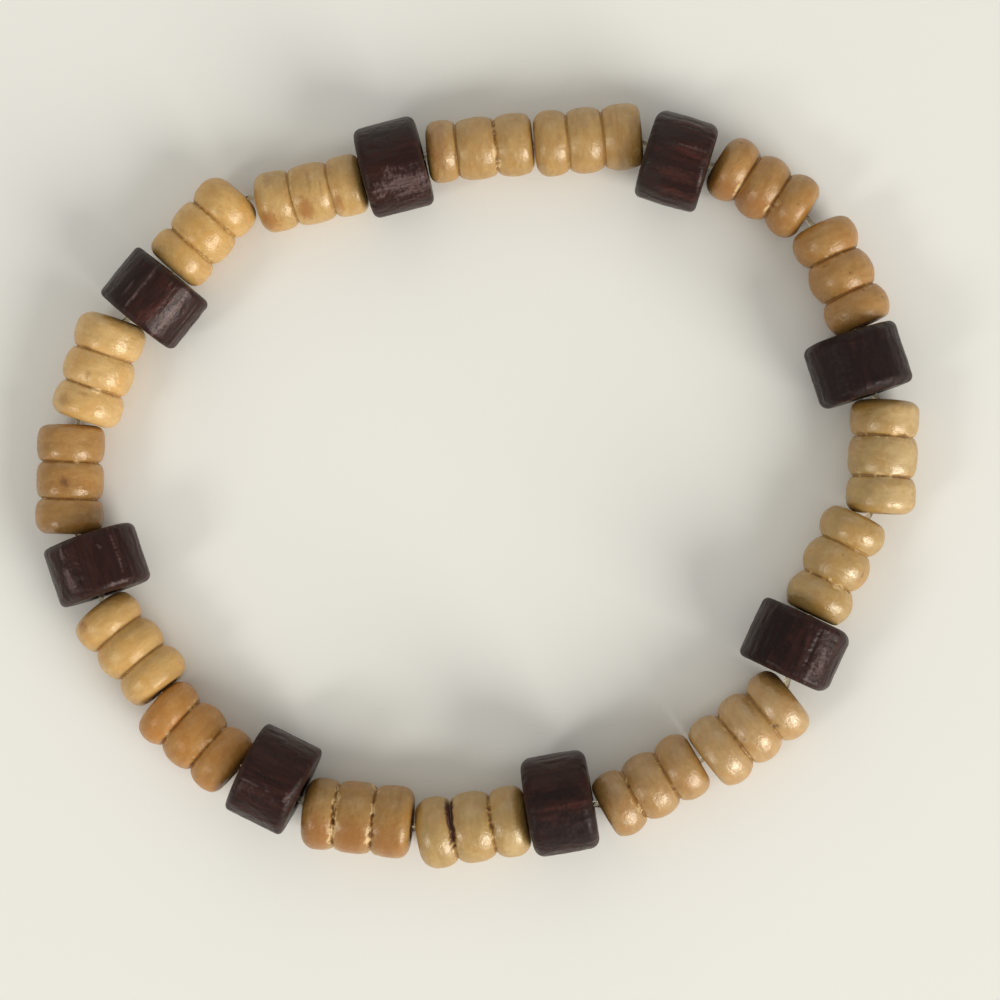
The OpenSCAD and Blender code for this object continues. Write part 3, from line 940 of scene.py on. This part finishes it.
def floor():
    """The plain pale floor, a square round the middle of the loop."""
    mesh = bpy.data.meshes.new("floor")
    reach = FLOOR_REACH
    corners = [(-reach, -reach, 0), (reach, -reach, 0), (reach, reach, 0), (-reach, reach, 0)]
    mesh.from_pydata(corners, [], [(0, 1, 2, 3)])
    ground = bpy.data.objects.new("floor", mesh)
    bpy.context.scene.collection.objects.link(ground)
    finish = Finish("plain_pale_floor", None)
    finish.inputs["Base Color"].default_value = linear(FLOOR_COLOUR)
    finish.inputs["Roughness"].default_value = FLOOR_ROUGHNESS
    finish.inputs["Specular IOR Level"].default_value = FLOOR_GLOSS
    mesh.materials.append(finish.material)


def facing(place, target, upward):
    """A turn and place that look from a point to a target, both in mm. Its back is the way from
    the target to the point, its right is square to that and to the upward direction, and its top
    is square to both."""
    back = (place - target) / np.linalg.norm(place - target)
    right = np.cross(upward, back)
    right /= np.linalg.norm(right)
    matrix = np.eye(4)
    matrix[:3, :3] = np.array([right, np.cross(back, right), back]).T
    matrix[:3, 3] = place * MM
    return Matrix(matrix.tolist())


def camera():
    """The photograph's camera, nearly straight above, with the loop's +Y up in the picture. The
    length of the lens is the camera's distance times the width on the sensor of 1 mm out there."""
    lens = bpy.data.cameras.new("camera")
    lens.sensor_width = SENSOR
    lens.lens = SENSOR * CAMERA_DISTANCE * PIXELS_PER_MM / FRAME_PIXELS
    lens.clip_start = NEAREST_SEEN
    eye = bpy.data.objects.new("camera", lens)
    bpy.context.scene.collection.objects.link(eye)
    eye.matrix_world = facing(CAMERA_PLACE, TARGET, (0, 1, 0))
    bpy.context.scene.camera = eye


def soft_light(name, row):
    """An oval soft light that faces the middle of the loop, from its distance times the direction
    that its azimuth and elevation give."""
    lamp = bpy.data.lights.new(name, "AREA")
    lamp.shape = "ELLIPSE"
    lamp.size = row.width
    lamp.size_y = row.height
    lamp.energy = row.power
    lamp.color = row.colour
    holder = bpy.data.objects.new(name, lamp)
    bpy.context.scene.collection.objects.link(holder)
    a, e = np.radians(row.azimuth), np.radians(row.elevation)
    place = row.distance * np.array([np.cos(a) * np.cos(e), np.sin(a) * np.cos(e), np.sin(e)])
    holder.matrix_world = facing(place, np.zeros(3), UP)


def lighting():
    """The soft lights, and even light from all round."""
    for name, row in LAMPS.items():
        soft_light(name, row)
    world = bpy.data.worlds.new("studio")
    world.use_nodes = True
    background = world.node_tree.nodes["Background"]
    background.inputs["Color"].default_value = ROUND_LIGHT_COLOUR
    background.inputs["Strength"].default_value = ROUND_LIGHT_STRENGTH
    bpy.context.scene.world = world
    bpy.context.scene.view_settings.view_transform = "Standard"


def string_order():
    """The beads' names clockwise round the loop: a dark one, its ribbed ones, and so on."""
    names = []
    for group in range(DARK_COUNT):
        names.append(f"dark_bead_{group + 1}")
        for part in range(RIBBED_PER_DARK):
            names.append(f"ribbed_bead_{RIBBED_PER_DARK * group + part + 1}")
    return names


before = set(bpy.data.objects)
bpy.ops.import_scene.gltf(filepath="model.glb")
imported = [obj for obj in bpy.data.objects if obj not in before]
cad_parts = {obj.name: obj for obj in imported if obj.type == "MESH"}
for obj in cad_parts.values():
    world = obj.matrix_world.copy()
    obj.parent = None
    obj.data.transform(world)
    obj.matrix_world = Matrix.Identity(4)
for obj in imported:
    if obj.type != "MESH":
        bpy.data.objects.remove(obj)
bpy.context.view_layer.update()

camera()
lighting()
floor()
light_woods = {key: light_wood(key + "_varnished_wood", tone) for key, tone in TONES.items()}
dark_finish = dark_wood()

for number in range(1, DARK_COUNT + 1):
    dark_bead(f"dark_bead_{number}", FIRST_DARK_SEED + SEED_STEP * number, dark_finish)
for number, (node, look) in enumerate(RIBBED.items(), 1):
    ribbed_bead(node, look, SEED_STEP * number, light_woods[look.tone])
elastic_cord([read_bead(node, 0) for node in string_order()], clear_elastic())
